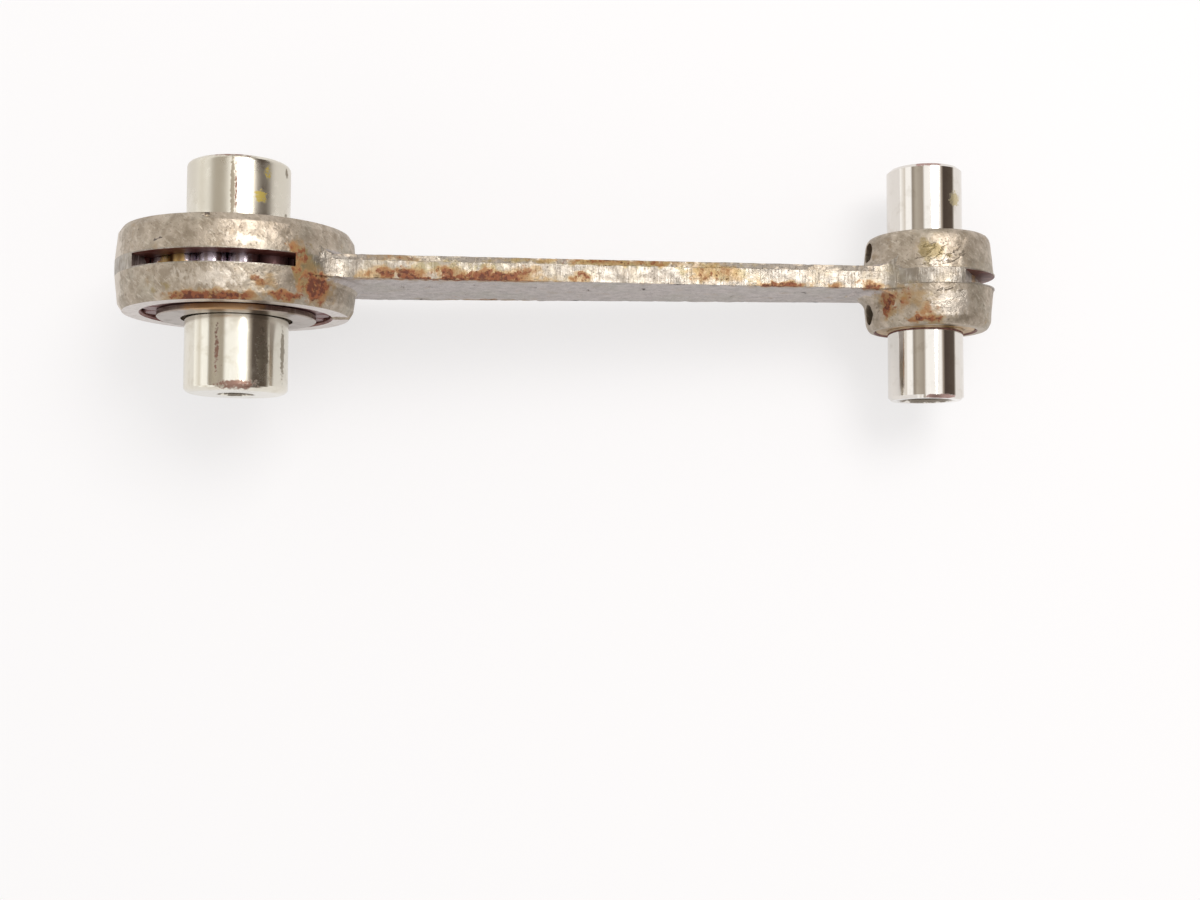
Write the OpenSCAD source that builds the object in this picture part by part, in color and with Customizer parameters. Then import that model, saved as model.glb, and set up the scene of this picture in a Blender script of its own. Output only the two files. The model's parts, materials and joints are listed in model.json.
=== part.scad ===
// Connecting rod of a small two-stroke single, complete with its crank pin,
// cageless big-end rollers, thrust washers, little-end bush and gudgeon pin.
// The rod rests on its narrow edge: +X runs from the big end to the little end,
// +Y along the pins, +Z up, with the origin under the middle of the part.

/* [Rod] */
// Distance between the crank pin and gudgeon pin axes
centre_distance = 110; // [90:1:140]
// Draft of the forging dies on every edge that faces up or down
draft_angle = 6; // [3:0.5:9]
// Width of the trimmed flash line left on the parting plane
flash_w = 2.4; // [1.6:0.1:3]
// Height that the flash line stands above the drafted skin
flash_h = 0.15; // [0.05:0.05:0.3]

/* [Big end] */
// Radius of the big eye at its parting line
big_r = 18.5; // [17.6:0.1:22]
// Width of the big eye between its ground faces
big_w = 12.8; // [12:0.1:16]
// Axial height of the bevel round each ground face
big_bevel = 1.1; // [0.5:0.1:2]
// Radial width of that bevel
big_bevel_r = 0.7; // [0.2:0.1:0.8]
// Bevel at the mouth of the roller track
track_bevel = 0.3; // [0.1:0.1:0.6]
// Width of the oil slot sawn through the top of the big eye
slot_w = 2; // [1:0.1:3]
// Radius of the slitting saw that was plunged in to cut it
slot_saw_r = 12.3; // [8:0.1:14]
// Where the saw's centre stopped, along the rod from the eye's centre
slot_saw_x = -1.2; // [-3:0.1:3]
// Height at which the saw's centre stopped, above the eye's centre
slot_saw_z = 15; // [12:0.1:20]
// Radius of the round-bottomed oil groove across each face
groove_r = 1.2; // [0.6:0.1:1.5]
// Angle of the front groove above the rod's axis
front_groove_angle = -3; // [-90:1:90]
// Angle of the rear groove above the rod's axis
rear_groove_angle = -20; // [-90:1:90]

/* [Shank] */
// Thickness of the flat shank
shank_t = 3.6; // [3:0.1:5]
// Half depth of the shank, drawn on to the big eye's centre
shank_half_big = 11.4; // [9.5:0.1:13]
// Half depth of the shank, drawn on to the little eye's centre
shank_half_small = 6.9; // [5:0.1:8]
// Radius where the shank's edges run into the big eye
big_web_r = 9; // [5:0.5:14]
// Radius where the shank's edges run into the little eye
small_web_r = 7; // [4:0.5:10]
// Radius between the shank's flat sides and the big eye
big_side_r = 1.8; // [1:0.1:2.6]
// Radius between the shank's flat sides and the little eye
small_side_r = 2.6; // [1:0.1:3]

/* [Little end] */
// Radius of the little eye at its parting line
small_r = 10.55; // [10.05:0.05:13]
// How far the little eye's outside is set out from its bore, towards the tip
small_offset = 0.45; // [0:0.05:1]
// Width of the little eye
small_w = 15.2; // [13:0.1:18]
// Axial height of the rounded bevel round each face
small_bevel = 1.9; // [1:0.1:2.5]
// Radial width of that bevel
small_bevel_r = 1.2; // [0.6:0.1:1.4]
// Outside radius of the pressed-in bush
bush_r = 8; // [7.4:0.1:8.6]
// How far each end of the bush lies below the eye's face
bush_recess = 0.2; // [0:0.1:0.5]
// Radius of the two oil holes beside the shank
oil_hole_r = 1.6; // [0.8:0.1:1.7]
// Radius of the countersink at their mouths
oil_mouth_r = 1.85; // [1.75:0.05:2.1]
// Distance of the oil holes from the middle plane
oil_hole_y = 5; // [4.2:0.1:5.2]
// Angle of the oil holes above the rod's axis
oil_hole_angle = 5; // [0:1:20]
// Width of the saw cut at the tip
saw_w = 2; // [1:0.1:3]
// Angle of the saw cut above the rod's axis
saw_angle = 27; // [0:1:60]
// How deep the saw cut bites into the bush
saw_bite = 0.2; // [0.05:0.05:0.6]

/* [Crank pin] */
// Radius of the crank pin's two press-fit ends
crank_end_r = 8; // [7.5:0.1:8.6]
// Radius of its hardened middle, on which the rollers run
crank_mid_r = 10; // [9.4:0.1:10.6]
// Length of the hardened middle
crank_mid_l = 11; // [10:0.1:12.4]
// Length of the whole crank pin
crank_l = 36.5; // [32:0.1:37]
// Radius of the hole bored through it
crank_bore_r = 2.5; // [1.5:0.1:4]
// Bevel at the mouths of that hole
crank_mouth = 0.3; // [0.1:0.1:0.6]
// How far the pin has floated towards the front
crank_float = 0.5; // [0:0.1:0.6]
// Axial height of the rounding on its end rims
crank_round = 0.9; // [0.4:0.1:1.5]
// Radial width of that rounding
crank_round_r = 1.4; // [0.6:0.1:2]
// Depth of the grinding relief beside each shoulder, under the thrust washer
crank_relief = 0.2; // [0.1:0.05:0.4]

/* [Rollers and washers] */
// Radius of a roller
roller_r = 2.25; // [2:0.05:2.5]
// Radial running clearance on each side of a roller
roller_gap = 0.02; // [0.01:0.01:0.05]
// Bevel on a roller's ends
roller_bevel = 0.25; // [0.1:0.05:0.5]
// Place of the first roller, as an angle above the rod's axis
roller_start = 97.5; // [0:0.5:360]
// Outside radius of a thrust washer
washer_r = 12.25; // [11.8:0.05:13]
// Radial clearance of a thrust washer on the crank pin's end
washer_bore_gap = 0.6; // [0.1:0.05:0.9]
// Thickness of a thrust washer
washer_t = 1; // [0.6:0.1:1.4]
// End clearance between the washers, the rollers and the pin's shoulders
end_gap = 0.05; // [0.02:0.01:0.1]

/* [Gudgeon pin] */
// Radius of the gudgeon pin
gudgeon_r = 6; // [5:0.1:6.5]
// Length of the gudgeon pin
gudgeon_l = 37.5; // [37.5:0.5:45]
// Radius of the hole through it
gudgeon_bore_r = 3.75; // [2.5:0.05:4.5]
// Bevel on its rims, outside and inside
gudgeon_bevel = 0.5; // [0.2:0.1:0.8]
// Radial running clearance in the bush
gudgeon_gap = 0.015; // [0.01:0.005:0.05]

/* [Hidden] */
$fn = 96;
// overshoot of every cutting tool past the face it cuts
over = 1;
// radial interference of the bush in the little eye
bush_press = 0.01;
// how far a blend runs on past the surface that it meets, so that the two cross cleanly
blend_bite = 0.05;
// bevels on the washers' rims and on the rims of the bush and the pin's middle
edge_bevel = 0.15;
rim_bevel = 0.25;

// roller track: the pin's middle, a clearance, the roller, a clearance
roller_path_r = crank_mid_r + roller_gap + roller_r;
track_r = roller_path_r + roller_r + roller_gap;
roller_count = floor(180 / asin(roller_r / roller_path_r));
roller_step = 360 / roller_count;
roller_l = crank_mid_l - 2 * end_gap;
relief_w = washer_t + 2 * end_gap;
washer_bore_r = crank_end_r + washer_bore_gap;
washer_y = crank_mid_l / 2 + end_gap + washer_t / 2;

// outlines of the forging
land = flash_w / 2;
big_face_r = big_r - (big_w / 2 - big_bevel - land) * tan(draft_angle) - big_bevel_r;
small_skin_r = small_r - flash_h;
small_shoulder_r = small_skin_r - (small_w / 2 - small_bevel - land) * tan(draft_angle);
small_x = centre_distance + small_offset;

// shank: each edge is a line that falls by the taper angle
shank_half_t = shank_t / 2;
shank_taper = atan((shank_half_big - shank_half_small) / centre_distance);
shank_edge = shank_half_big * cos(shank_taper);
shank_drop = flash_h + shank_half_t / 2 * tan(draft_angle);

// the part rests on both eyes, so its axis falls towards the little end
rest_angle = asin((big_r - small_r) / small_x);
rest_x = -(small_x * cos(rest_angle) + small_r - big_r) / 2;

function roller_name(k) = str("roller_", k < 10 ? "0" : "", k);

// From the rod's own axes, with the big eye's centre as origin, to the resting part
module at_rest() {
    translate([rest_x, 0, big_r]) rotate([0, rest_angle, 0]) children();
}

// Turns a shape drawn about Z to lie along Y. Angles still run from +X towards +Z
module along_y() {
    rotate([90, 0, 0]) children();
}

// A ring or disc whose section, in radius and height, is the same above and below the middle
module lathe(half_section) {
    count = len(half_section);
    mirrored = [for (i = [count - 1:-1:0]) [half_section[i][0], -half_section[i][1]]];
    rotate_extrude() polygon(concat(half_section, mirrored));
}

// A round hole right through the middle of a part, bevelled at both mouths
module through_bore(r, length, bevel) {
    lathe([[0, length / 2 + over], [r + bevel + over, length / 2 + over], [r, length / 2 - bevel]]);
}

// ---- forging ----

module big_eye() {
    along_y() lathe([
        [0, big_w / 2],
        [big_face_r, big_w / 2],
        [big_face_r + big_bevel_r, big_w / 2 - big_bevel],
        [big_r, land]
    ]);
}

module small_eye() {
    // the bevel is a quarter of an ellipse, drawn in short steps
    bevel = [for (a = [0:15:90]) [
        small_shoulder_r - small_bevel_r * (1 - sin(a)),
        small_w / 2 - small_bevel * (1 - cos(a))
    ]];
    translate([small_x, 0, 0]) along_y() lathe(concat(
        [[0, small_w / 2]],
        bevel,
        [[small_skin_r, land], [small_r, land]]
    ));
}

// Place along the shank's upper edge of the hollow corner between that edge and an eye.
// side is 1 where the shank leaves the eye, and -1 where it arrives there
function corner_u(eye_x, eye_r, web_r, side) =
    let (rise = shank_edge + web_r - eye_x * sin(shank_taper), reach = eye_r + web_r - blend_bite)
    eye_x * cos(shank_taper) + side * sqrt(reach * reach - rise * rise);

// A point given along the upper edge and outwards from the rod's axis, as X and Z of the rod
function off_edge(u, n) = [
    u * cos(shank_taper) + n * sin(shank_taper),
    n * cos(shank_taper) - u * sin(shank_taper)
];

// A point inside an eye, on the way from its centre to a corner's centre
function rooted(eye_x, eye_r, corner) =
    let (centre = [eye_x, 0]) centre + (corner - centre) * (eye_r - over) / norm(corner - centre);

// Outline of the shank with its hollow corners, set in from its edges by the drop
module shank_outline(drop) {
    big_u = corner_u(0, big_r, big_web_r, 1);
    small_u = corner_u(small_x, small_r, small_web_r, -1);
    big_corner = off_edge(big_u, shank_edge + big_web_r);
    small_corner = off_edge(small_u, shank_edge + small_web_r);
    upper = [rooted(0, big_r, big_corner), big_corner, small_corner, rooted(small_x, small_r, small_corner)];
    lower = [for (i = [3:-1:0]) [upper[i][0], -upper[i][1]]];
    difference() {
        polygon(concat(upper, lower));
        for (side = [0, 1]) mirror([0, side]) {
            translate(big_corner) circle(r = big_web_r + drop);
            translate(small_corner) circle(r = small_web_r + drop);
            rotate(-shank_taper) translate([big_u, shank_edge - drop + blend_bite])
                square([small_u - big_u, big_web_r + small_web_r]);
        }
    }
}

// A slice of the rod between two distances from its middle plane
module slice(front, rear) {
    along_y() translate([0, 0, -rear]) linear_extrude(rear - front) children();
}

// The flash is trimmed flush with the shank's front side, and its rear side is drafted
module shank() {
    slice(-shank_half_t, shank_half_t / 2) shank_outline(0);
    slice(0, shank_half_t) shank_outline(shank_drop);
}

// Hollow corner between the shank's flat sides and an eye's drafted outside
module side_fillet(eye_x, eye_r, fillet_r) {
    height = shank_half_t + fillet_r - blend_bite;
    skin_r = eye_r - (height - land) * tan(draft_angle) - blend_bite;
    intersection() {
        translate([eye_x, 0, 0]) along_y() difference() {
            cylinder(r = skin_r + fillet_r, h = 2 * height, center = true);
            for (face = [-1, 1]) translate([0, 0, face * height])
                rotate_extrude() translate([skin_r + fillet_r, 0]) circle(r = fillet_r);
        }
        slice(-height - over, height + over) shank_outline(2 * shank_drop);
    }
}

module oil_slot() {
    translate([slot_saw_x, 0, slot_saw_z]) along_y()
        cylinder(r = slot_saw_r, h = slot_w, center = true);
}

module face_groove(angle, side) {
    rotate([0, -angle, 0]) translate([crank_mid_r, side * big_w / 2, 0]) rotate([0, 90, 0])
        cylinder(r = groove_r, h = big_r);
}

// Two countersunk holes that lead oil mist from beside the shank to the bush
module oil_holes() {
    reach = small_r + small_offset;
    mouth = small_r - small_offset;
    sink = oil_mouth_r - oil_hole_r;
    for (side = [-1, 1])
        translate([centre_distance, side * oil_hole_y, 0]) rotate([0, oil_hole_angle, 0])
            rotate([0, -90, 0]) {
                cylinder(r = oil_hole_r, h = reach + small_side_r);
                translate([0, 0, mouth - sink])
                    cylinder(r1 = oil_hole_r, r2 = oil_mouth_r + small_side_r, h = sink + small_side_r);
            }
}

module saw_cut() {
    floor_r = bush_r - saw_bite;
    translate([centre_distance, 0, 0]) rotate([0, -saw_angle, 0])
        translate([floor_r, -saw_w / 2, -small_r - over])
            cube([small_r, saw_w, 2 * (small_r + over)]);
}

module connecting_rod() {
    color("#a39a8c") at_rest() difference() {
        union() {
            big_eye();
            small_eye();
            shank();
            side_fillet(0, big_r, big_side_r);
            side_fillet(small_x, small_skin_r, small_side_r);
        }
        along_y() through_bore(track_r, big_w, track_bevel);
        translate([centre_distance, 0, 0]) along_y()
            through_bore(bush_r - bush_press, small_w, rim_bevel);
        oil_slot();
        face_groove(front_groove_angle, -1);
        face_groove(rear_groove_angle, 1);
        oil_holes();
        saw_cut();
    }
}

module small_end_bush() {
    length = small_w - 2 * bush_recess;
    bore_r = gudgeon_r + gudgeon_gap;
    color("#9c7f4c") at_rest() difference() {
        translate([centre_distance, 0, 0]) along_y() lathe([
            [bore_r, length / 2 - rim_bevel],
            [bore_r + rim_bevel, length / 2],
            [bush_r - rim_bevel, length / 2],
            [bush_r, length / 2 - rim_bevel]
        ]);
        oil_holes();
        saw_cut();
    }
}

// ---- pins and bearing ----

module crank_pin() {
    // the rims are rounded by a quarter of an ellipse, drawn in short steps
    rounding = [for (a = [0:15:90]) [
        crank_end_r - crank_round_r * (1 - sin(a)),
        crank_l / 2 - crank_round * (1 - cos(a))
    ]];
    color("#c9c5bd") at_rest() translate([0, -crank_float, 0]) along_y() lathe(concat(
        [[crank_bore_r, crank_l / 2 - crank_mouth], [crank_bore_r + crank_mouth, crank_l / 2]],
        rounding,
        [
            [crank_end_r, crank_mid_l / 2 + relief_w],
            [crank_end_r - crank_relief, crank_mid_l / 2 + relief_w],
            [crank_end_r - crank_relief, crank_mid_l / 2],
            [crank_mid_r - rim_bevel, crank_mid_l / 2],
            [crank_mid_r, crank_mid_l / 2 - rim_bevel]
        ]
    ));
}

module thrust_washer(side) {
    color("#b8b2a6") at_rest() translate([0, side * washer_y - crank_float, 0]) along_y() lathe([
        [washer_bore_r, washer_t / 2],
        [washer_r - edge_bevel, washer_t / 2],
        [washer_r, washer_t / 2 - edge_bevel]
    ]);
}

module roller(k) {
    angle = roller_start + (k - 1) * roller_step;
    color("#b5b1aa") at_rest() rotate([0, -angle, 0]) translate([roller_path_r, -crank_float, 0])
        along_y() lathe([
            [0, roller_l / 2],
            [roller_r - roller_bevel, roller_l / 2],
            [roller_r, roller_l / 2 - roller_bevel]
        ]);
}

module gudgeon_pin() {
    color("#cfcbc3") at_rest() translate([centre_distance, 0, 0]) along_y() lathe([
        [gudgeon_bore_r, gudgeon_l / 2 - gudgeon_bevel],
        [gudgeon_bore_r + gudgeon_bevel, gudgeon_l / 2],
        [gudgeon_r - gudgeon_bevel, gudgeon_l / 2],
        [gudgeon_r, gudgeon_l / 2 - gudgeon_bevel]
    ]);
}

connecting_rod();
small_end_bush();
crank_pin();
thrust_washer(-1);  // front_thrust_washer
thrust_washer(1);  // rear_thrust_washer
gudgeon_pin();
for (k = [1:roller_count])
    roller(k);
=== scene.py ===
"""A forged two-stroke connecting rod with its crank pin, roller big end and gudgeon pin.

The rod lies on a white table, seen from above. Most surfaces are laid out in the rod's own axes, in
millimetres: the big end's centre is the origin, +X runs to the little end, +Y along the pins to the
rear, and +Z up through the edge that faces the camera.
"""

import json
import math
from collections import namedtuple

import bpy
import numpy as np
from mathutils import Matrix, Vector, noise


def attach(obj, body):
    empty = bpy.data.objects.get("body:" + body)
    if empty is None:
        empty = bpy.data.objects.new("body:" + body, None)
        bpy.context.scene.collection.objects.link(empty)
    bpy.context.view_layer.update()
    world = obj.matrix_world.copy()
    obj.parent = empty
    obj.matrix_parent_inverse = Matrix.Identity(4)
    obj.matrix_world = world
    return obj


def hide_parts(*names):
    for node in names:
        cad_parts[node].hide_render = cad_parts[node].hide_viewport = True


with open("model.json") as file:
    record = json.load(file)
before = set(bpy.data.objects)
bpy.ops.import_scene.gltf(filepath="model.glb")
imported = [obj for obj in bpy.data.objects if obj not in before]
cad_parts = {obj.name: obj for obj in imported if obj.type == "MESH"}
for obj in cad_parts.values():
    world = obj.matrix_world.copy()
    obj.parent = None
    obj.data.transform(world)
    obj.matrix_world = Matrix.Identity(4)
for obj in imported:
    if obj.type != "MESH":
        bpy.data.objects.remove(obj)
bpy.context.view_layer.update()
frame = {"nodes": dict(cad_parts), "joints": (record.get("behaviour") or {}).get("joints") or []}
nodes = frame["nodes"]

MM = 0.001

# ---- the rod's own axes ----

joints = {joint["name"]: joint for joint in frame["joints"]}
crank_centre = Vector(joints["crank_pin_spin"]["pos_m"])
gudgeon_centre = Vector(joints["gudgeon_pin_spin"]["pos_m"])
axis_line = gudgeon_centre - crank_centre
CENTRE_DISTANCE = axis_line.length / MM
REST_ANGLE = math.atan2(-axis_line.z, axis_line.x)
ROD_TO_WORLD = (
    Matrix.Translation(crank_centre)
    @ Matrix.Rotation(REST_ANGLE, 4, "Y")
    @ Matrix.Scale(MM, 4)
)
WORLD_TO_ROD = ROD_TO_WORLD.inverted()


# ---- finishes ----

# One thing that lies on or in a surface, such as rust, a rub mark or a pit. It covers the surface where
# noise of that size in mm rises from start to full, or falls to it where full is the lower. share is the
# most that it hides, rough what it adds to the roughness, dull how much of the metal's mirror it hides,
# and depth how far it stands proud in mm. stretch draws it out along the rod's axes and turn leans it.
# With spots, it keeps to those places. With crease, it covers the thin lines where the noise crosses 0.5,
# and start and full count up to 0.5 at the middle of a line.
Layer = namedtuple(
    "Layer",
    "colour size start full share rough dull depth stretch turn detail spots crease",
    defaults=(1.0, 0.0, 0.0, 0.0, (1, 1, 1), 0.0, 4, None, False),
)

# A spot is at full strength this far out, as a share of its reach, and it has gone by the second share
SPOT_CORE, SPOT_EDGE = 0.2, 1.25
# Outside its spots a layer's noise is held down by the second, and a spot's middle lifts it by the first
SPOT_LIFT, SPOT_SINK = 0.5, -0.32
# How large the wanderings of a spot's outline are, and how far they go along the rod's axes, in mm
RAGGED_SIZE = 1.6
RAGGED_REACH = (5.0, 2.5, 3.0)


def linear(colour):
    """An sRGB hex colour as the linear RGBA that a shader takes."""
    channels = [int(colour[i : i + 2], 16) / 255 for i in (1, 3, 5)]
    return [c / 12.92 if c <= 0.04045 else ((c + 0.055) / 1.055) ** 2.4 for c in channels] + [1]


def add(tree, kind, inputs, result=0, **settings):
    """Adds a node with its settings and gives back one of its results. Each input takes a number, a
    vector, a hex colour or the result of another node."""
    node = tree.nodes.new("ShaderNode" + kind)
    for name, value in settings.items():
        setattr(node, name, value)
    for key, value in inputs.items():
        if isinstance(value, bpy.types.NodeSocket):
            tree.links.new(value, node.inputs[key])
        else:
            node.inputs[key].default_value = linear(value) if isinstance(value, str) else value
    return node.outputs[result] if node.outputs else None


def nearness(tree, place, spots):
    """1 at the middle of a spot, 0 outside them all. A spot is its centre, its reach along the rod's
    axes, and its strength."""
    near = 0.0
    for centre, reach, strength in spots:
        offset = add(tree, "VectorMath", {0: place, 1: centre}, operation="SUBTRACT")
        shrunk = add(tree, "VectorMath", {0: offset, 1: reach}, operation="DIVIDE")
        distance = add(tree, "VectorMath", {0: shrunk}, 1, operation="LENGTH")
        here = add(
            tree,
            "MapRange",
            {"Value": distance, "From Min": SPOT_EDGE, "From Max": SPOT_CORE, "To Max": strength},
            interpolation_type="SMOOTHSTEP",
        )
        near = add(tree, "Math", {0: here, 1: near}, operation="MAXIMUM")
    return near


def covering(tree, place, layer, near):
    """How much of a layer lies at a point, from 0 to 1."""
    turned = add(
        tree, "VectorRotate", {"Vector": place, "Angle": layer.turn}, rotation_type="Z_AXIS"
    )
    drawn = add(
        tree, "VectorMath", {0: turned, 1: [1 / s for s in layer.stretch]}, operation="MULTIPLY"
    )
    level = add(
        tree,
        "TexNoise",
        {"Vector": drawn, "Scale": 1 / layer.size, "Detail": layer.detail, "Roughness": 0.6},
    )
    if layer.crease:
        # folded at 0.5, so that it peaks along the lines where the noise crosses 0.5
        level = add(tree, "Math", {0: level, 1: 0.5}, operation="SUBTRACT")
        level = add(tree, "Math", {0: level}, operation="ABSOLUTE")
        level = add(tree, "Math", {0: 0.5, 1: level}, operation="SUBTRACT")
    if layer.spots:
        lift = add(
            tree, "Math", {0: near, 1: SPOT_LIFT, 2: SPOT_SINK}, operation="MULTIPLY_ADD"
        )
        if layer.crease:
            # a lift would only make the lines wider
            lift = add(tree, "Math", {0: lift, 1: 0.0}, operation="MINIMUM")
        towards = "ADD" if layer.full > layer.start else "SUBTRACT"
        level = add(tree, "Math", {0: level, 1: lift}, operation=towards)
    return add(
        tree,
        "MapRange",
        {"Value": level, "From Min": layer.start, "From Max": layer.full, "To Max": layer.share},
        interpolation_type="SMOOTHSTEP",
    )


def finish(name, colour, metallic, roughness, layers, rounding=0.0, ragged=0.1):
    """A metal surface, from its clean colour up through its layers. rounding softens its edges, in mm,
    and ragged is how much the outlines of its spots wander."""
    material = bpy.data.materials.new(name)
    material.use_nodes = True
    tree = material.node_tree
    tree.nodes.clear()
    # the point in the rod's axes, in mm, which stays with its piece as the piece turns
    place = add(
        tree,
        "Mapping",
        {
            "Vector": add(tree, "TexCoord", {}, "Object"),
            "Location": crank_centre,
            "Rotation": (0, REST_ANGLE, 0),
            "Scale": (MM, MM, MM),
        },
        vector_type="TEXTURE",
    )
    # the same point led astray, so that no spot has a smooth outline
    drift = add(tree, "TexNoise", {"Vector": place, "Scale": 1 / RAGGED_SIZE, "Detail": 4}, 1)
    drift = add(tree, "VectorMath", {0: drift, 1: (0.5, 0.5, 0.5)}, operation="SUBTRACT")
    reach = [ragged * r for r in RAGGED_REACH]
    astray = add(tree, "VectorMath", {0: drift, 1: reach, 2: place}, operation="MULTIPLY_ADD")
    mirror = metallic
    height = 0.0
    near = {}
    for layer in layers:
        key = id(layer.spots)
        if layer.spots and key not in near:
            near[key] = nearness(tree, astray, layer.spots)
        share = covering(tree, place, layer, near.get(key))
        # a Mix node takes its colours at 6 and 7 and gives the mixed one at 2
        colour = add(tree, "Mix", {0: share, 6: colour, 7: layer.colour}, 2, data_type="RGBA")
        if layer.rough:
            roughness = add(
                tree, "Math", {0: share, 1: layer.rough, 2: roughness}, operation="MULTIPLY_ADD"
            )
        if layer.dull:
            metallic = add(
                tree,
                "Math",
                {0: share, 1: -layer.dull * mirror, 2: metallic},
                operation="MULTIPLY_ADD",
                use_clamp=True,
            )
        if layer.depth:
            height = add(
                tree, "Math", {0: share, 1: layer.depth, 2: height}, operation="MULTIPLY_ADD"
            )
    surface = {"Base Color": colour, "Metallic": metallic, "Roughness": roughness}
    if rounding:
        surface["Normal"] = add(tree, "Bevel", {"Radius": rounding * MM}, samples=4)
    if height:
        relief = {"Distance": MM, "Height": height}
        if rounding:
            relief["Normal"] = surface["Normal"]
        surface["Normal"] = add(tree, "Bump", relief)
    add(tree, "OutputMaterial", {"Surface": add(tree, "BsdfPrincipled", surface)})
    return material


# ---- where rust, grease and wear are ----

# Where rust has taken hold on the forging: centre in the rod's axes, reach, and strength
RUST_SPOTS = [
    ((13.8, -3.6, 12.2), (3.4, 3.4, 5.0), 1.1),
    ((10.2, -5.4, 15.6), (3.6, 1.2, 4.0), 1.0),
    ((6.8, -3.6, 17.0), (3.4, 1.3, 4.0), 0.7),
    ((11.3, 0.0, 14.6), (1.7, 4.6, 5.0), 0.78),
    ((-2.0, -6.2, 17.4), (13.5, 1.4, 3.0), 1.05),
    ((26.5, -1.0, 10.4), (7.5, 1.6, 2.0), 0.95),
    ((33.0, -0.8, 10.2), (2.6, 1.8, 2.0), 0.95),
    ((40.5, -1.2, 9.6), (9.0, 1.6, 2.0), 0.98),
    ((45.0, -0.6, 9.4), (3.6, 1.6, 2.0), 0.72),
    ((34.0, -1.8, 9.8), (24.0, 0.6, 1.4), 0.95),
    ((54.0, -1.0, 9.2), (1.8, 1.0, 2.0), 0.85),
    ((60.0, 1.5, 9.0), (20.0, 0.8, 1.6), 0.68),
    ((27.0, 1.2, 10.2), (5.0, 1.0, 1.4), 0.5),
    ((74.5, -0.2, 8.2), (7.0, 2.0, 2.0), 0.66),
    ((85.0, -1.6, 7.8), (6.5, 0.9, 1.4), 0.95),
    ((93.5, -1.6, 7.5), (2.0, 0.8, 1.2), 0.8),
    ((99.3, -1.5, 7.2), (3.4, 1.0, 1.6), 0.9),
    ((101.8, -4.4, 7.0), (1.7, 3.6, 3.4), 1.1),
    ((104.2, -3.4, 9.0), (3.2, 3.2, 4.0), 0.66),
    ((107.6, -5.4, 10.4), (2.6, 1.8, 3.0), 0.72),
    ((106.6, -6.8, 10.0), (5.4, 1.0, 3.0), 0.98),
    ((-17.0, 0.0, -9.0), (6.0, 6.0, 6.0), 0.7),
    ((40.0, -1.0, -9.6), (12.0, 1.6, 2.0), 0.85),
    ((88.0, 0.6, -7.6), (9.0, 1.6, 2.0), 0.85),
    ((6.0, 4.5, -17.0), (7.0, 2.5, 4.0), 0.75),
    ((108.0, 3.0, -10.0), (5.0, 4.0, 3.0), 0.8),
]

# Where old grease has dried on the forging
GREASE_SPOTS = [
    ((11.8, -0.6, 14.2), (2.4, 4.6, 5.0), 1.05),
    ((108.0, 3.8, 10.2), (4.0, 3.0, 3.0), 0.9),
    ((60.0, 1.4, 9.0), (40.0, 1.2, 2.4), 0.75),
    ((75.0, 0.0, 8.4), (8.0, 1.8, 2.0), 0.95),
    ((33.0, 0.2, 10.0), (14.0, 1.6, 2.0), 0.75),
    ((13.0, -1.5, 13.4), (4.0, 5.0, 4.0), 0.8),
    ((105.0, -2.6, 9.0), (5.0, 5.0, 4.0), 0.5),
    ((-8.0, -4.5, 16.0), (6.0, 2.0, 4.0), 0.6),
]

# Where handling has worn the skin bright, and a painted highlight down the big eye's left side
WORN_AND_LIT_SPOTS = [
    ((4.2, 2.4, 18.2), (4.6, 1.6, 3.0), 0.72),
    ((-1.0, -3.2, 18.2), (9.0, 2.2, 3.0), 0.85),
    ((112.0, -4.4, 10.2), (4.4, 3.0, 4.0), 1.1),
    ((108.6, 2.2, 10.4), (3.6, 1.4, 3.0), 0.8),
    # painted highlight on the big eye's left side, which faces the bright side of the room
    ((-17.6, 0.0, 3.0), (4.0, 9.0, 12.0), 1.5),
]

# Where the rear edge of the strip is painted a darker grey, with a little relief: painted shade on the
# drafted band there, which leans away from the camera
STRIP_SHADE_SPOTS = [
    ((24.0, 1.4, 10.8), (16.0, 0.9, 1.0), 1.25),
    ((44.0, 1.4, 9.8), (16.0, 0.9, 1.0), 1.2),
    ((64.0, 1.4, 8.9), (16.0, 0.9, 1.0), 1.1),
    ((84.0, 1.4, 8.1), (16.0, 0.9, 1.0), 1.1),
    ((98.0, 1.4, 7.5), (8.0, 0.9, 1.0), 1.0),
]

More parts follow.
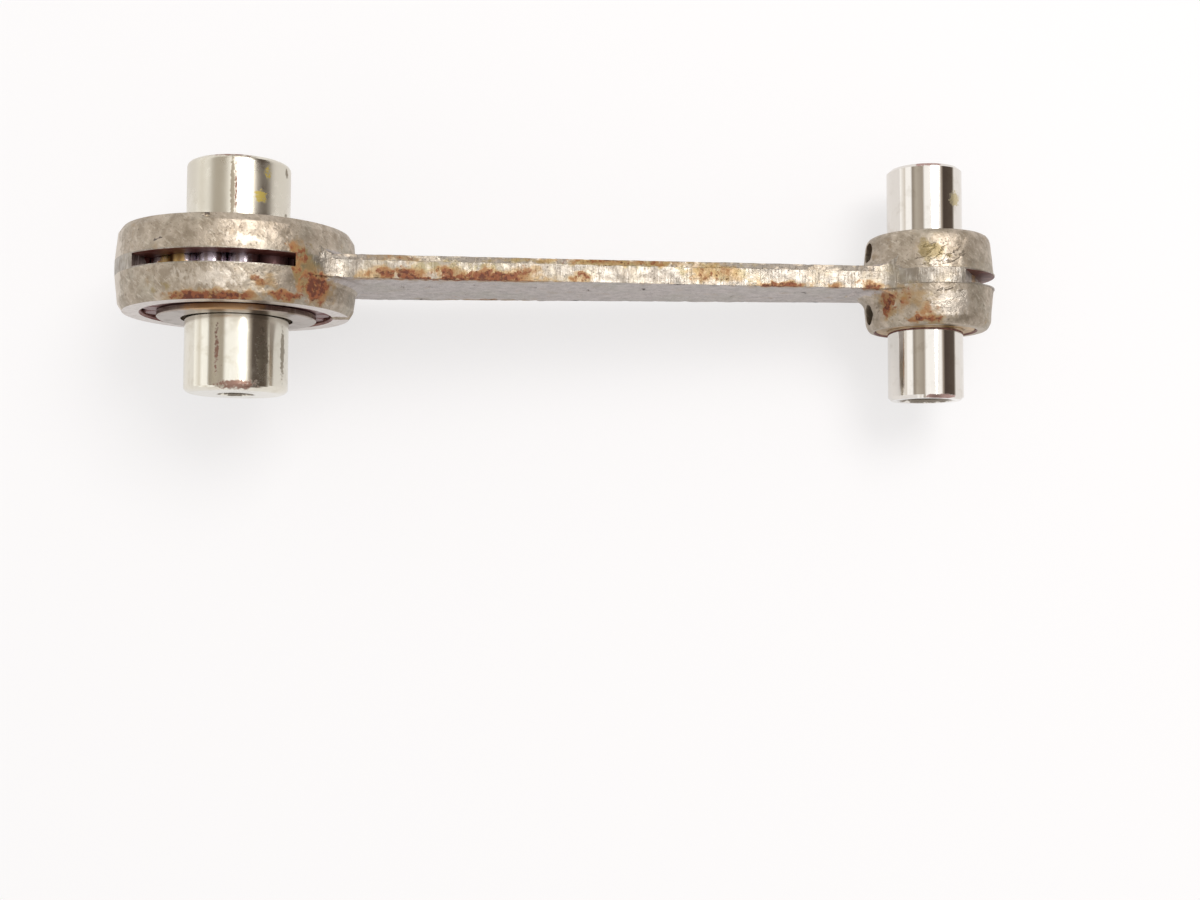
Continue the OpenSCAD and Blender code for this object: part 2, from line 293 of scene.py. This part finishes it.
# Dents and chips that the die, the trimming press and the parts bin have left: centre, reach, depth in mm
NICKS = [
    ((-1.4, 6.0, 18.1), (1.1, 0.45, 1.2), 0.5),
    ((25.9, -1.8, 2.0), (0.4, 0.6, 1.3), 0.3),
    ((30.2, -1.8, 2.6), (0.35, 0.6, 1.6), 0.3),
    ((35.9, -1.8, -4.0), (0.4, 0.6, 1.2), 0.35),
    ((37.6, -1.8, 4.6), (0.9, 0.6, 0.8), 0.25),
    ((28.8, -1.8, -9.4), (1.4, 0.6, 0.8), 0.35),
    ((40.2, -1.8, -9.0), (0.7, 0.6, 0.7), 0.35),
    ((46.5, -1.8, 3.0), (0.8, 0.6, 1.0), 0.25),
    ((55.2, -1.8, 1.6), (0.5, 0.6, 1.2), 0.25),
    ((63.8, -1.8, 3.4), (0.9, 0.6, 0.8), 0.25),
    ((79.0, -1.8, -2.5), (0.4, 0.6, 1.4), 0.3),
    ((90.5, -1.8, 2.0), (0.5, 0.6, 1.1), 0.3),
    ((49.0, 1.8, 2.0), (0.6, 0.6, 1.0), 0.3),
    ((70.0, 1.8, -3.0), (0.8, 0.6, 1.2), 0.3),
    ((22.5, -1.7, 10.6), (0.7, 0.5, 0.6), 0.1),
    ((33.4, -1.7, 10.0), (0.9, 0.5, 0.5), 0.1),
    ((46.8, -1.7, 9.3), (0.6, 0.4, 0.5), 0.1),
    ((68.6, -1.7, 8.4), (1.0, 0.5, 0.5), 0.1),
    ((80.8, -1.7, 7.9), (0.8, 0.5, 0.5), 0.1),
    ((51.0, 1.7, 9.0), (0.8, 0.4, 0.5), 0.1),
    ((104.6, 4.6, 9.4), (0.9, 0.35, 0.8), 0.2),
    ((111.8, 2.9, 10.6), (1.3, 0.3, 0.7), 0.22),
    ((108.2, -3.4, 10.6), (1.4, 0.3, 0.7), 0.22),
    ((-9.0, 2.9, 16.3), (1.0, 0.4, 0.9), 0.22),
    ((5.6, -3.6, 17.9), (0.9, 0.4, 0.8), 0.22),
]
NICK_CENTRES, NICK_REACHES = (np.array(column) for column in list(zip(*NICKS))[:2])
# Dirt that fills them, a little inside their rims
NICK_SPOTS = [(centre, [0.8 * r for r in reach], 1.0) for centre, reach, depth in NICKS]

# Where the sheared strip runs on into the eyes
SHEAR_SPOTS = [
    ((103.6, 0.0, 9.2), (4.6, 1.7, 4.5), 1.4),
    ((103.6, 0.0, -9.2), (4.6, 1.7, 4.5), 1.4),
    ((16.4, 0.0, 11.5), (3.0, 1.7, 4.0), 1.4),
    ((16.4, 0.0, -11.5), (3.0, 1.7, 4.0), 1.4),
]

# Where the dies have left creases in the forging
CREASE_SPOTS = [
    ((109.5, 3.2, 10.2), (6.5, 3.0, 5.0), 1.0),
    ((111.0, -3.8, 10.2), (5.5, 3.2, 5.0), 1.0),
    ((13.5, -3.5, -12.0), (5.0, 3.0, 5.0), 1.0),
]

# The small eye's front face is duller than the large one's
DULL_FACE = [((CENTRE_DISTANCE, -7.6, 0.0), (16.0, 2.0, 16.0), 1.2)]
# Rust has crept over the large eye's front face beside the oil groove and along its upper rim
FACE_RUST = [((15.6, -6.5, -0.8), (2.8, 1.0, 2.6), 1.0), ((5.0, -6.5, 17.5), (8.0, 0.8, 1.6), 0.7)]

# The crank pin's rear end is hazy with dried oil, and some grease sits on it
CRANK_HAZE = [((0.0, 13.5, 0.0), (11.0, 9.5, 11.0), 1.1)]
CRANK_GREASE = [((4.5, 11.3, 6.6), (1.8, 1.6, 2.0), 1.0), ((5.4, 15.0, 5.8), (1.2, 2.0, 1.6), 0.8)]
# Dark stains lie along both of its ends
CRANK_STAIN = [
    ((5.0, -13.0, 6.2), (1.5, 6.5, 2.2), 0.85),
    ((7.55, -12.5, 2.8), (0.4, 5.5, 1.4), 1.1),
    ((0.4, 12.0, 8.0), (0.5, 8.5, 1.0), 1.1),
    ((7.7, 16.0, 2.2), (0.3, 1.0, 1.0), 1.0),
    ((7.7, 8.5, 2.2), (0.3, 1.6, 1.0), 1.0),
]
# Rust has drawn a line along each end and crept in at both rims
CRANK_RUST = [
    ((1.6, -17.9, 7.4), (5.6, 1.1, 2.4), 1.0),
    ((0.9, 12.0, 8.0), (0.25, 8.5, 1.0), 0.8),
    ((-1.6, -12.5, 7.8), (0.5, 7.0, 1.2), 0.85),
    ((0.0, 17.5, 7.0), (5.0, 0.5, 2.0), 0.9),
]
# The roller at one end of the oil slot is gold with old oil
ROLLER_OIL = [((-7.4, 0.0, 11.0), (3.2, 8.0, 4.0), 1.2)]
# Those at its other end are caked brown, and so are the end faces of them all, which also serves as
# painted shade in the narrow gaps beside the washers where they show
ROLLER_CAKE_AND_SHADE = [
    ((7.6, 0.0, 11.0), (6.0, 8.0, 6.0), 1.2),
    ((0.0, -6.0, 0.0), (60.0, 1.6, 60.0), 1.3),
    ((0.0, 6.0, 0.0), (60.0, 1.6, 60.0), 1.3),
]
# Oil has gilded the washers' upper rims
WASHER_OIL = [((0.0, -5.6, 13.5), (16.0, 4.0, 5.0), 1.0), ((0.0, 5.6, 13.5), (16.0, 4.0, 5.0), 1.0)]
# Old oil has dulled the bores through both pins, all along
ALL_ALONG = 400.0
CRANK_BORE = [((0.0, 0.0, 0.0), (3.0, ALL_ALONG, 3.0), 3.0)]
GUDGEON_BORE = [((CENTRE_DISTANCE, 0.0, 0.0), (4.4, ALL_ALONG, 4.4), 3.0)]
# The gudgeon pin has rust at the tops of both rims, and grease on its rear end
GUDGEON_RUST = [
    ((111.0, -18.5, 5.4), (3.6, 0.7, 1.6), 1.05),
    ((109.0, 18.5, 5.4), (3.4, 0.6, 1.6), 0.95),
]
GUDGEON_GREASE = [((113.6, 13.2, 4.7), (1.8, 1.8, 1.8), 1.1)]

# Rust, from the orange film at its edge to the dark scab at its middle
RUST = [
    Layer("#a58657", 2.4, 0.24, 0.52, share=0.65, rough=0.08, dull=0.3, detail=6, spots=RUST_SPOTS),
    Layer("#9c6a3b", 1.6, 0.42, 0.62, share=0.75, rough=0.15, dull=0.6, detail=8, spots=RUST_SPOTS),
    Layer("#854729", 0.9, 0.52, 0.66, share=0.85, rough=0.1, dull=0.3, depth=0.03, spots=RUST_SPOTS),
    Layer("#54261b", 0.6, 0.62, 0.74, share=0.8, depth=0.04, spots=RUST_SPOTS),
]


# ---- materials ----


def drop_forged_steel(name, scale, blasted, rubbed):
    """Drop-forged medium-carbon steel, blasted clean and kept in store. The dies leave a dull, warm
    grey skin with fine pits and crinkles. Handling has rubbed its high spots bright, oil has dried
    on it, and rust has started where the oil was wiped off. At the strip's ends it shows the same
    sheared metal as the strip. scale, blasted and rubbed are the colours of its skin, of where the
    blasting bared it, and of its high spots."""
    return finish(
        name,
        scale,
        metallic=0.85,
        roughness=0.46,
        layers=[
            # bared patches, and a greener tinge over them
            Layer(blasted, 1.8, 0.34, 0.66, depth=0.05, detail=6),
            Layer("#a5a294", 7.0, 0.45, 0.72, share=0.4),
            # rubbed high spots
            Layer(
                rubbed,
                0.42,
                0.54,
                0.70,
                share=0.4,
                rough=-0.1,
                depth=0.02,
                stretch=(3.0, 0.8, 3.0),
                turn=0.7,
            ),
            # pits
            Layer("#5f554a", 0.34, 0.42, 0.32, share=0.5, depth=-0.04),
            # creases
            Layer(
                "#5f5447",
                2.4,
                0.472,
                0.495,
                share=0.7,
                depth=-0.09,
                stretch=(2.6, 1, 2),
                turn=-0.35,
                spots=CREASE_SPOTS,
                crease=True,
            ),
            # sheared metal and its ridges
            Layer("#cbc4ba", 1.4, 0.36, 0.5, share=0.85, rough=-0.06, spots=SHEAR_SPOTS),
            Layer(
                "#84796c",
                0.32,
                0.46,
                0.36,
                share=0.6,
                depth=-0.035,
                stretch=(1, 9, 9),
                spots=SHEAR_SPOTS,
            ),
            # worn places and a painted highlight, painted shade on the strip's rear edge, grease, and dirt
            # in the nicks
            # worn places, with a painted highlight on the big eye's left side
            Layer("#d9cfc2", 0.9, 0.42, 0.6, share=0.7, rough=-0.08, stretch=(1, 2, 1), spots=WORN_AND_LIT_SPOTS),
            # painted shade along the strip's rear edge
            Layer("#7d766f", 1.5, 0.3, 0.56, share=0.8, rough=0.08, depth=0.03, spots=STRIP_SHADE_SPOTS),
            Layer("#93814f", 2.0, 0.42, 0.62, share=0.65, rough=0.05, spots=GREASE_SPOTS),
            Layer("#463c38", 0.8, 0.3, 0.5, share=0.85, rough=0.1, dull=0.5, spots=NICK_SPOTS),
            *RUST,
        ],
        rounding=0.22,
        ragged=1.0,
    )


def sheared_steel():
    """Where the trimming die sheared the forging's flash off. It smears bright metal into ridges
    that run straight across the strip, a third of a millimetre apart. The real ones are finer, and
    would not show."""
    return finish(
        "sheared_steel",
        "#958c81",
        metallic=0.9,
        roughness=0.4,
        layers=[
            Layer("#b1aaa0", 1.4, 0.4, 0.62, share=0.8, rough=-0.06, depth=0.02, detail=6),
            Layer("#d0c9c0", 0.36, 0.54, 0.66, share=0.5, depth=0.015, stretch=(1, 9, 9)),
            Layer("#857b6e", 0.32, 0.46, 0.36, share=0.45, depth=-0.03, stretch=(1, 9, 9)),
            Layer("#a89b7f", 5.0, 0.45, 0.7, share=0.4),
            Layer("#6f6558", 0.3, 0.38, 0.3, share=0.5, depth=-0.04),
            Layer("#968a63", 1.8, 0.42, 0.62, share=0.6, rough=0.05, spots=GREASE_SPOTS),
            *RUST,
        ],
        rounding=0.12,
        ragged=1.0,
    )


def ground_steel_face():
    """Faces of the eyes, ground flat: bright and even, with fine straight marks from the wheel, drawn
    coarse enough to show, and a little brown where oil has dried."""
    return finish(
        "ground_steel_face",
        "#c9c0ba",
        metallic=1.0,
        roughness=0.32,
        layers=[
            Layer("#ddd5cf", 0.25, 0.4, 0.6, depth=0.008, stretch=(14, 1, 1), turn=0.4, detail=2),
            Layer("#a08c7a", 2.2, 0.55, 0.75, share=0.5, rough=0.05),
            Layer("#a3957f", 1.2, 0.3, 0.6, share=0.85, rough=0.12, spots=DULL_FACE),
            Layer("#7c4434", 0.9, 0.40, 0.58, share=0.85, rough=0.2, dull=0.6, spots=FACE_RUST),
        ],
        rounding=0.1,
        ragged=0.6,
    )


def oiled_steel_wall():
    """Bores, and the walls of the slots and grooves: steel that a film of old oil has turned dark
    brown and hardly lets shine as metal."""
    return finish(
        "oiled_steel_wall",
        "#6a352c",
        metallic=0.15,
        roughness=0.45,
        layers=[Layer("#94665a", 1.4, 0.38, 0.7)],
    )


def sawn_steel():
    """The bottom of the oil slot, bright with the marks of the slitting saw that cut it."""
    return finish(
        "sawn_steel",
        "#9d948a",
        metallic=1.0,
        roughness=0.3,
        layers=[
            Layer("#e4ded6", 0.3, 0.42, 0.6, share=0.85, depth=0.01, stretch=(1, 12, 1), detail=2)
        ],
    )


def polished_pin_steel(name, clean, stain, roughness, stained, layers=()):
    """Hardened steel, ground round and polished lengthwise: mirror-like, with hairline scratches
    along it, drawn coarse enough to show, and thin brown stains where fingers and old oil have marked
    it. stained is how much the stains hide."""
    return finish(
        name,
        clean,
        metallic=1.0,
        roughness=roughness,
        layers=[
            Layer(stain, 2.6, 0.5, 0.75, share=stained, rough=0.1, detail=5),
            Layer("#5d4a37", 0.45, 0.68, 0.76, share=stained, rough=0.1),
            Layer("#f2ede6", 0.16, 0.56, 0.7, share=0.2, depth=0.002, stretch=(1, 30, 1), detail=2),
            *layers,
        ],
    )


def turned_bronze():
    """Leaded bronze bush, turned and reamed: brassy where it is clean, and gone brown in patches."""
    return finish(
        "turned_bronze",
        "#b8986a",
        metallic=0.95,
        roughness=0.36,
        layers=[
            Layer("#8d7350", 1.8, 0.4, 0.65, rough=0.08),
            Layer("#c4a671", 0.2, 0.5, 0.7, share=0.4, depth=0.004, stretch=(9, 1, 9), detail=2),
        ],
    )


# ---- the forging ----

# Its finishes, in the order of the mesh's materials. The first three are on its uneven skin.
EYE, SIDE, FLASH, FACE, BORE, SAWN = range(6)

# Sizes in mm that the surfaces change at
BIG_FACE_Y = 6.4
SMALL_FACE_Y = 7.6
BIG_EYE_R = 18.5
SMALL_EYE_R = 10.55
TRACK_R = 14.54
BUSH_R = 8.0
SLOT_HALF_W = 1.0
# where the bright sheared strip gives way to forged skin, towards the rear
FLASH_REAR_Y = 0.9
# how far inside the big eye's rim the walls of its oil grooves begin
GROOVE_IN = 0.3
# how far outside each bore its bevelled rim may lie
TRACK_RIM, BUSH_RIM = 0.5, 0.4
# how far out each eye's faces are looked for, and how far the sheared strip runs on beside the eye
BIG_FACE_R, SMALL_FACE_R = 20.0, 12.5
BIG_ROOT, SMALL_ROOT = 1.0, 1.5
# how far under the small eye's face its level surfaces still count as face
SMALL_FACE_IN = 0.3
# how far clear of the eyes the shank's sides begin
SIDE_GAP = 0.1
# allowances for a triangle's middle, along the pins and across them
PIN_SLACK, ROUND_SLACK = 0.02, 0.05
# shares of the normal along the pins from which, or up to which, a surface has that lie
LEVEL, SIDEWAYS, UPRIGHT = 0.97, 0.6, 0.03


def surface_kind(centre, normal):
    """Which finish a piece of the forging has, from where it lies and how it faces."""
    x, y, z = centre
    big_out = math.hypot(x, z)
    small_out = math.hypot(x - CENTRE_DISTANCE, z)
    level = abs(normal[1]) > LEVEL
    upright = abs(normal[1]) < UPRIGHT
    at_big_face = big_out < BIG_FACE_R and abs(y) > BIG_FACE_Y - PIN_SLACK
    at_small_face = small_out < SMALL_FACE_R and abs(y) > SMALL_FACE_Y - SMALL_FACE_IN
    if level and (at_big_face or at_small_face):
        return FACE
    if big_out < TRACK_R + TRACK_RIM or small_out < BUSH_R + BUSH_RIM:
        return BORE
    between_saw_cuts = abs(y) < SLOT_HALF_W + PIN_SLACK
    if between_saw_cuts and big_out < BIG_EYE_R + ROUND_SLACK:
        if level:
            return BORE
        if upright and big_out < BIG_EYE_R - ROUND_SLACK:
            return SAWN
    past_bore = x > CENTRE_DISTANCE and small_out < SMALL_EYE_R - ROUND_SLACK
    if between_saw_cuts and level and past_bore:
        return BORE
    if big_out < BIG_EYE_R - GROOVE_IN and (level or upright):
        return BORE
    beside_eye = big_out < BIG_EYE_R + BIG_ROOT or small_out < SMALL_EYE_R + SMALL_ROOT
    if upright and (y < FLASH_REAR_Y or beside_eye):
        return FLASH
    clear_of_eyes = big_out > BIG_EYE_R + SIDE_GAP and small_out > SMALL_EYE_R + SIDE_GAP
    if clear_of_eyes and abs(normal[1]) > SIDEWAYS:
        return SIDE
    return EYE


def cut_fine(points, corners, normals, kinds):
    """Cuts the forged skin's triangles across their longest edges, and finest round the nicks. Each
    round cuts the edges that are the longest of both their triangles, and so leaves no gap."""
    # the longest edges in mm that stay, and how far round a nick they are kept short
    SKIN_EDGE, NICK_EDGE = 0.8, 0.3
    NICK_MARGIN, NICK_SPREAD = 0.3, 0.4
    # a sliver of length that settles which of two equal edges goes first
    TIE, TIE_ROUND = 1e-6, 97
    while True:
        ends = np.sort(np.stack([corners, np.roll(corners, -1, axis=1)], axis=2), axis=2)
        keys = ends[..., 0] * len(points) + ends[..., 1]
        edges, first, number = np.unique(keys, return_index=True, return_inverse=True)
        number = number.reshape(keys.shape)
        pair = ends.reshape(-1, 2)[first]
        middle = points[pair].mean(axis=1)
        length = np.linalg.norm(points[pair[:, 0]] - points[pair[:, 1]], axis=1)
        from_nicks = (middle[:, None] - NICK_CENTRES) / (NICK_REACHES + NICK_MARGIN)
        away = np.linalg.norm(from_nicks, axis=2).min(axis=1)
        limit = np.where(away < 1 + NICK_SPREAD * length, NICK_EDGE, SKIN_EDGE)
        skin = np.zeros(len(edges), bool)
        skin[number[kinds < FACE]] = True
        ranked = length + TIE * (np.arange(len(edges)) % TIE_ROUND)
        weight = np.where(skin & (length > limit), ranked, 0)
        worst = weight[number].argmax(axis=1)
        rows = np.arange(len(corners))
        chosen = number[rows, worst]
        both = np.bincount(chosen, minlength=len(edges)) == 2
        cut = both[chosen] & (weight[chosen] > 0)
        if not cut.any():
            return points, corners, normals, kinds
        rows, worst = rows[cut], worst[cut]
        split, new = np.unique(chosen[cut], return_inverse=True)
        new = new + len(points)
        points = np.vstack([points, middle[split]])
        before, after, apex = worst, (worst + 1) % 3, (worst + 2) % 3
        between = normals[rows, before] + normals[rows, after]
        between /= np.linalg.norm(between, axis=1, keepdims=True)
        extra_corners = np.stack([new, corners[rows, after], corners[rows, apex]], axis=1)
        extra_normals = np.stack([between, normals[rows, after], normals[rows, apex]], axis=1)
        corners[rows, after] = new
        normals[rows, after] = between
        corners = np.vstack([corners, extra_corners])
        normals = np.vstack([normals, extra_normals])
        kinds = np.append(kinds, kinds[rows])


def skin_height(points):
    """How far the forged skin stands off its drawn surface, in mm: unevenness from the dies, and nicks."""
    # the dies' broad and fine unevenness: its height and size in mm, and how fast its finer noise fades
    WAVES = ((0.07, 6.0, 1.0), (0.05, 1.9, 0.8))
    # each has this many noises, and each noise is so many times finer than the one before
    NOISES, FINER = 2, 2.0
    height = np.zeros(len(points))
    for high, size, fade in WAVES:
        waves = [noise.fractal(Vector(point) / size, fade, FINER, NOISES) for point in points]
        height += high * np.array(waves)
    for centre, reach, depth in NICKS:
        away = np.linalg.norm((points - centre) / reach, axis=1)
        height -= depth * np.clip(1 - away**2, 0, None) ** 2
    return height


def forged_mesh(drawn):
    """The rod's mesh with the uneven skin of a forging. Ground and bored faces stay as drawn."""
    # how deep and how long the chips in its edges are, in mm, and the noise that they start from
    CHIP_DEPTH, CHIP_SIZE, CHIP_START = 0.32, 1.3, 0.05
    # a point is on an edge if a face there leans this far from the mean of them all, as a cosine
    EDGE_LEAN = 0.87
    # how far apart in mm two heights are taken for the skin's slope
    STEP = 0.05
    # decimals of a mm to which points that lie together are made one, and a guard against zero
    SAME, TINY = 4, 1e-9

    to_rod = np.array(WORLD_TO_ROD)
    points = np.array([vertex.co[:] for vertex in drawn.vertices]) @ to_rod[:3, :3].T + to_rod[:3, 3]
    points, merged = np.unique(np.round(points, SAME), axis=0, return_inverse=True)
    corners = merged.reshape(-1)[[loop.vertex_index for loop in drawn.loops]].reshape(-1, 3)
    turn = to_rod[:3, :3] * MM
    normals = (np.array([corner.vector[:] for corner in drawn.corner_normals]) @ turn.T).reshape(-1, 3, 3)
    centres = points[corners].mean(axis=1)
    kinds = np.array([surface_kind(c, n) for c, n in zip(centres, normals.mean(axis=1))])
    points, corners, normals, kinds = cut_fine(points, corners, normals, kinds)

    # only points that no ground, bored or sawn face shares are free to move
    free = np.ones(len(points))
    free[corners[kinds >= FACE]] = 0
    outward = np.zeros_like(points)
    np.add.at(outward, corners, normals)
    outward /= np.maximum(np.linalg.norm(outward, axis=1, keepdims=True), TINY)
    spread = np.ones(len(points))
    np.minimum.at(spread, corners, (normals * outward[corners]).sum(axis=2))
    height = skin_height(points)
    slope = np.stack([skin_height(points + STEP * axis) - height for axis in np.eye(3)], axis=1) / STEP
    chips = np.array(
        [max(0.0, noise.noise(Vector(point) / CHIP_SIZE) - CHIP_START) for point in points]
    )
    height -= CHIP_DEPTH * chips * (spread < EDGE_LEAN)
    tilt = (slope * free[:, None])[corners]
    tilt -= (tilt * normals).sum(axis=2, keepdims=True) * normals
    normals = normals - tilt
    normals /= np.linalg.norm(normals, axis=2, keepdims=True)
    points = points + outward * (height * free)[:, None]

    to_world = np.array(ROD_TO_WORLD)
    mesh = bpy.data.meshes.new("connecting_rod_forging")
    mesh.from_pydata((points @ to_world[:3, :3].T + to_world[:3, 3]).tolist(), [], corners.tolist())
    mesh.polygons.foreach_set("material_index", kinds)
    mesh.polygons.foreach_set("use_smooth", [True] * len(kinds))
    mesh.normals_split_custom_set((normals.reshape(-1, 3) @ turn).tolist())
    return mesh


forging_mesh = forged_mesh(nodes["connecting_rod"].data)
for material in (
    drop_forged_steel("drop_forged_steel", "#9b8e7d", "#beb1a1", "#e4daca"),
    # the shank's sides: the same skin painted lighter, as painted fill light for the light these sideways
    # faces miss
    drop_forged_steel("drop_forged_steel_web_painted_lighter", "#a8a09c", "#bfb6b2", "#cdc5c1"),
    sheared_steel(),
    ground_steel_face(),
    oiled_steel_wall(),
    sawn_steel(),
):
    forging_mesh.materials.append(material)
forging = bpy.data.objects.new("connecting_rod_forging", forging_mesh)
bpy.context.scene.collection.objects.link(forging)
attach(forging, "rod")
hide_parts("connecting_rod")

# ---- the other pieces, with the shapes that they are drawn with ----

washer_steel = polished_pin_steel(
    "hardened_washer_steel",
    "#a2968c",
    "#6f6050",
    roughness=0.28,
    stained=0.9,
    layers=[Layer("#b98f5f", 1.8, 0.3, 0.6, share=0.8, rough=0.1, spots=WASHER_OIL)],
)
finishes = {
    "crank_pin": polished_pin_steel(
        "ground_crank_pin_steel",
        "#e0dbce",
        "#b3a588",
        roughness=0.13,
        stained=0.35,
        layers=[
            Layer("#d4cec0", 6.0, 0.2, 0.5, share=0.9, rough=0.2, spots=CRANK_HAZE),
            Layer("#7c705d", 0.5, 0.42, 0.6, share=0.8, rough=0.25, detail=8, spots=CRANK_STAIN),
            Layer(
                "#bfa945", 0.4, 0.5, 0.62, share=0.9, rough=0.2, dull=0.4, detail=8, spots=CRANK_GREASE
            ),
            Layer(
                "#74402a", 0.6, 0.42, 0.62, share=0.85, rough=0.2, dull=0.7, detail=8, spots=CRANK_RUST
            ),
            Layer("#8f8578", 1.6, 0.42, 0.56, rough=0.35, dull=0.8, spots=CRANK_BORE),
        ],
    ),
    "gudgeon_pin": polished_pin_steel(
        "polished_gudgeon_pin_steel",
        "#dfdad3",
        "#b3a898",
        roughness=0.07,
        stained=0.35,
        layers=[
            Layer(
                "#b8a878", 0.5, 0.42, 0.6, share=0.8, rough=0.2, dull=0.4, detail=8, spots=GUDGEON_GREASE
            ),
            Layer("#8f5a50", 0.7, 0.42, 0.58, share=0.75, rough=0.2, dull=0.5, spots=GUDGEON_RUST),
            Layer("#8f8578", 1.6, 0.42, 0.56, rough=0.35, dull=0.8, spots=GUDGEON_BORE),
        ],
    ),
    "front_thrust_washer": washer_steel,
    "rear_thrust_washer": washer_steel,
    "small_end_bush": turned_bronze(),
}
roller_steel = polished_pin_steel(
    "oiled_roller_steel",
    "#d2c8d2",
    "#9a8a8c",
    roughness=0.2,
    stained=0.6,
    layers=[
        Layer("#c39d4a", 1.2, 0.3, 0.5, share=0.85, rough=0.1, spots=ROLLER_OIL),
        # caked brown at the slot's far end, and on all the roller ends, where it is partly painted shade
        Layer("#6b3a33", 0.9, 0.34, 0.56, share=0.9, rough=0.2, dull=0.6, detail=6, spots=ROLLER_CAKE_AND_SHADE),
    ],
)
for name, node in nodes.items():
    if name != "connecting_rod":
        node.data.materials.clear()
        node.data.materials.append(finishes.get(name, roller_steel))

# ---- table ----

# half its width in m, and its top, a hair under the rod's uneven skin
TABLE_HALF = 1.2
TABLE_TOP = -0.05 * MM
TABLE_CORNERS = ((-1, -1), (1, -1), (1, 1), (-1, 1))

table_mesh = bpy.data.meshes.new("table")
table_mesh.from_pydata(
    [(x * TABLE_HALF, y * TABLE_HALF, TABLE_TOP) for x, y in TABLE_CORNERS], [], [(0, 1, 2, 3)]
)
table = bpy.data.objects.new("table", table_mesh)
bpy.context.scene.collection.objects.link(table)

# Matt white paint. The eye and mirrors see it partly lit from inside, so that it stays white and
# still takes the rod's shadow.
GLOW = 0.64
white_paint = bpy.data.materials.new("matt_white_paint")
white_paint.use_nodes = True
tree = white_paint.node_tree
tree.nodes.clear()
seen = add(
    tree,
    "Math",
    {0: add(tree, "LightPath", {}, "Is Camera Ray"), 1: add(tree, "LightPath", {}, "Is Glossy Ray")},
    operation="MAXIMUM",
)
seen = add(
    tree,
    "Math",
    {0: seen, 1: add(tree, "LightPath", {}, "Is Transmission Ray")},
    operation="MAXIMUM",
)
surface = add(
    tree,
    "MixShader",
    {
        0: add(tree, "Math", {0: seen, 1: GLOW}, operation="MULTIPLY"),
        1: add(tree, "BsdfDiffuse", {"Color": "#f2f0f1"}),
        2: add(tree, "Emission", {"Color": "#fffefe", "Strength": 1.0}),
    },
)
add(tree, "OutputMaterial", {"Surface": surface})
table_mesh.materials.append(white_paint)

# ---- light ----

# What polished steel mirrors: the room above, by the angle from straight up towards the little end.
# Two lit panels lie along the pins, with a bright side before the first, a warm wall between them and
# a dark side past the second.
ROOM = [
    (-180, "#efebe7"),
    (-88, "#ffffff"),
    (-72, "#d6d0c8"),
    (-68, "#ffffff"),
    (-52, "#ffffff"),
    (-47, "#8f867b"),
    (-36, "#b5aea3"),
    (-15, "#a39a8f"),
    (-9, "#ffffff"),
    (37, "#ffffff"),
    (42, "#b0a59b"),
    (49, "#4a403a"),
    (84, "#5a5048"),
    (92, "#d8d4ce"),
    (180, "#e4e0dc"),
]

world = bpy.data.worlds.new("studio")
bpy.context.scene.world = world
world.use_nodes = True
tree = world.node_tree
tree.nodes.clear()
direction = add(tree, "TexCoord", {}, "Generated")
angle = add(
    tree,
    "Math",
    {0: add(tree, "SeparateXYZ", {0: direction}, 0), 1: add(tree, "SeparateXYZ", {0: direction}, 2)},
    operation="ARCTAN2",
)
turn_share = add(tree, "MapRange", {"Value": angle, "From Min": -math.pi, "From Max": math.pi})
room = add(tree, "ValToRGB", {0: turn_share})
ramp = room.node.color_ramp
while len(ramp.elements) < len(ROOM):
    ramp.elements.new(0.5)
for element, (degrees, colour) in zip(ramp.elements, ROOM):
    element.position = 0.5 + degrees / 360
    element.color = linear(colour)
lit = add(
    tree,
    "MixShader",
    {
        0: add(tree, "LightPath", {}, "Is Glossy Ray"),
        1: add(tree, "Background", {"Color": "#fffdfb", "Strength": 0.72}),
        2: add(tree, "Background", {"Color": room, "Strength": 1.25}),
    },
)
seen = add(
    tree,
    "MixShader",
    {
        0: add(tree, "LightPath", {}, "Is Camera Ray"),
        1: lit,
        2: add(tree, "Background", {"Color": "#ffffff", "Strength": 1.0}),
    },
)
add(tree, "OutputWorld", {"Surface": seen})

key_data = bpy.data.lights.new("key_panel", "AREA")
key_data.shape = "RECTANGLE"
key_data.size = 0.5
key_data.size_y = 0.4
key_data.energy = 4.0
key_data.color = linear("#fffcf9")[:3]
key = bpy.data.objects.new("key_panel", key_data)
key.location = (0.32, 0.35, 0.75)
key.rotation_euler = (-key.location).to_track_quat("-Z", "Y").to_euler()
bpy.context.scene.collection.objects.link(key)

# ---- camera ----

# Placed from the rod: nearly overhead, and a little to the front so that the front faces show. The
# turn leads from the rod's axes to the eye's, and the shift is the rod's place before the eye, in mm.
EYE_TURN = (
    Matrix.Rotation(-0.007, 3, "Z") @ Matrix.Rotation(0.062, 3, "Y") @ Matrix.Rotation(-0.059, 3, "X")
)
EYE_SHIFT = Vector((-57.112, 27.428, -236.499))
camera_data = bpy.data.cameras.new("camera")
camera_data.sensor_width = 36
camera_data.lens = 45
camera_data.clip_start = 0.01
camera = bpy.data.objects.new("camera", camera_data)
eye = EYE_TURN.transposed()
camera.matrix_world = (
    Matrix.Translation(ROD_TO_WORLD @ (eye @ -EYE_SHIFT))
    @ (Matrix.Rotation(REST_ANGLE, 3, "Y") @ eye).to_4x4()
)
bpy.context.scene.collection.objects.link(camera)
bpy.context.scene.camera = camera

bpy.context.scene.view_settings.view_transform = "Standard"
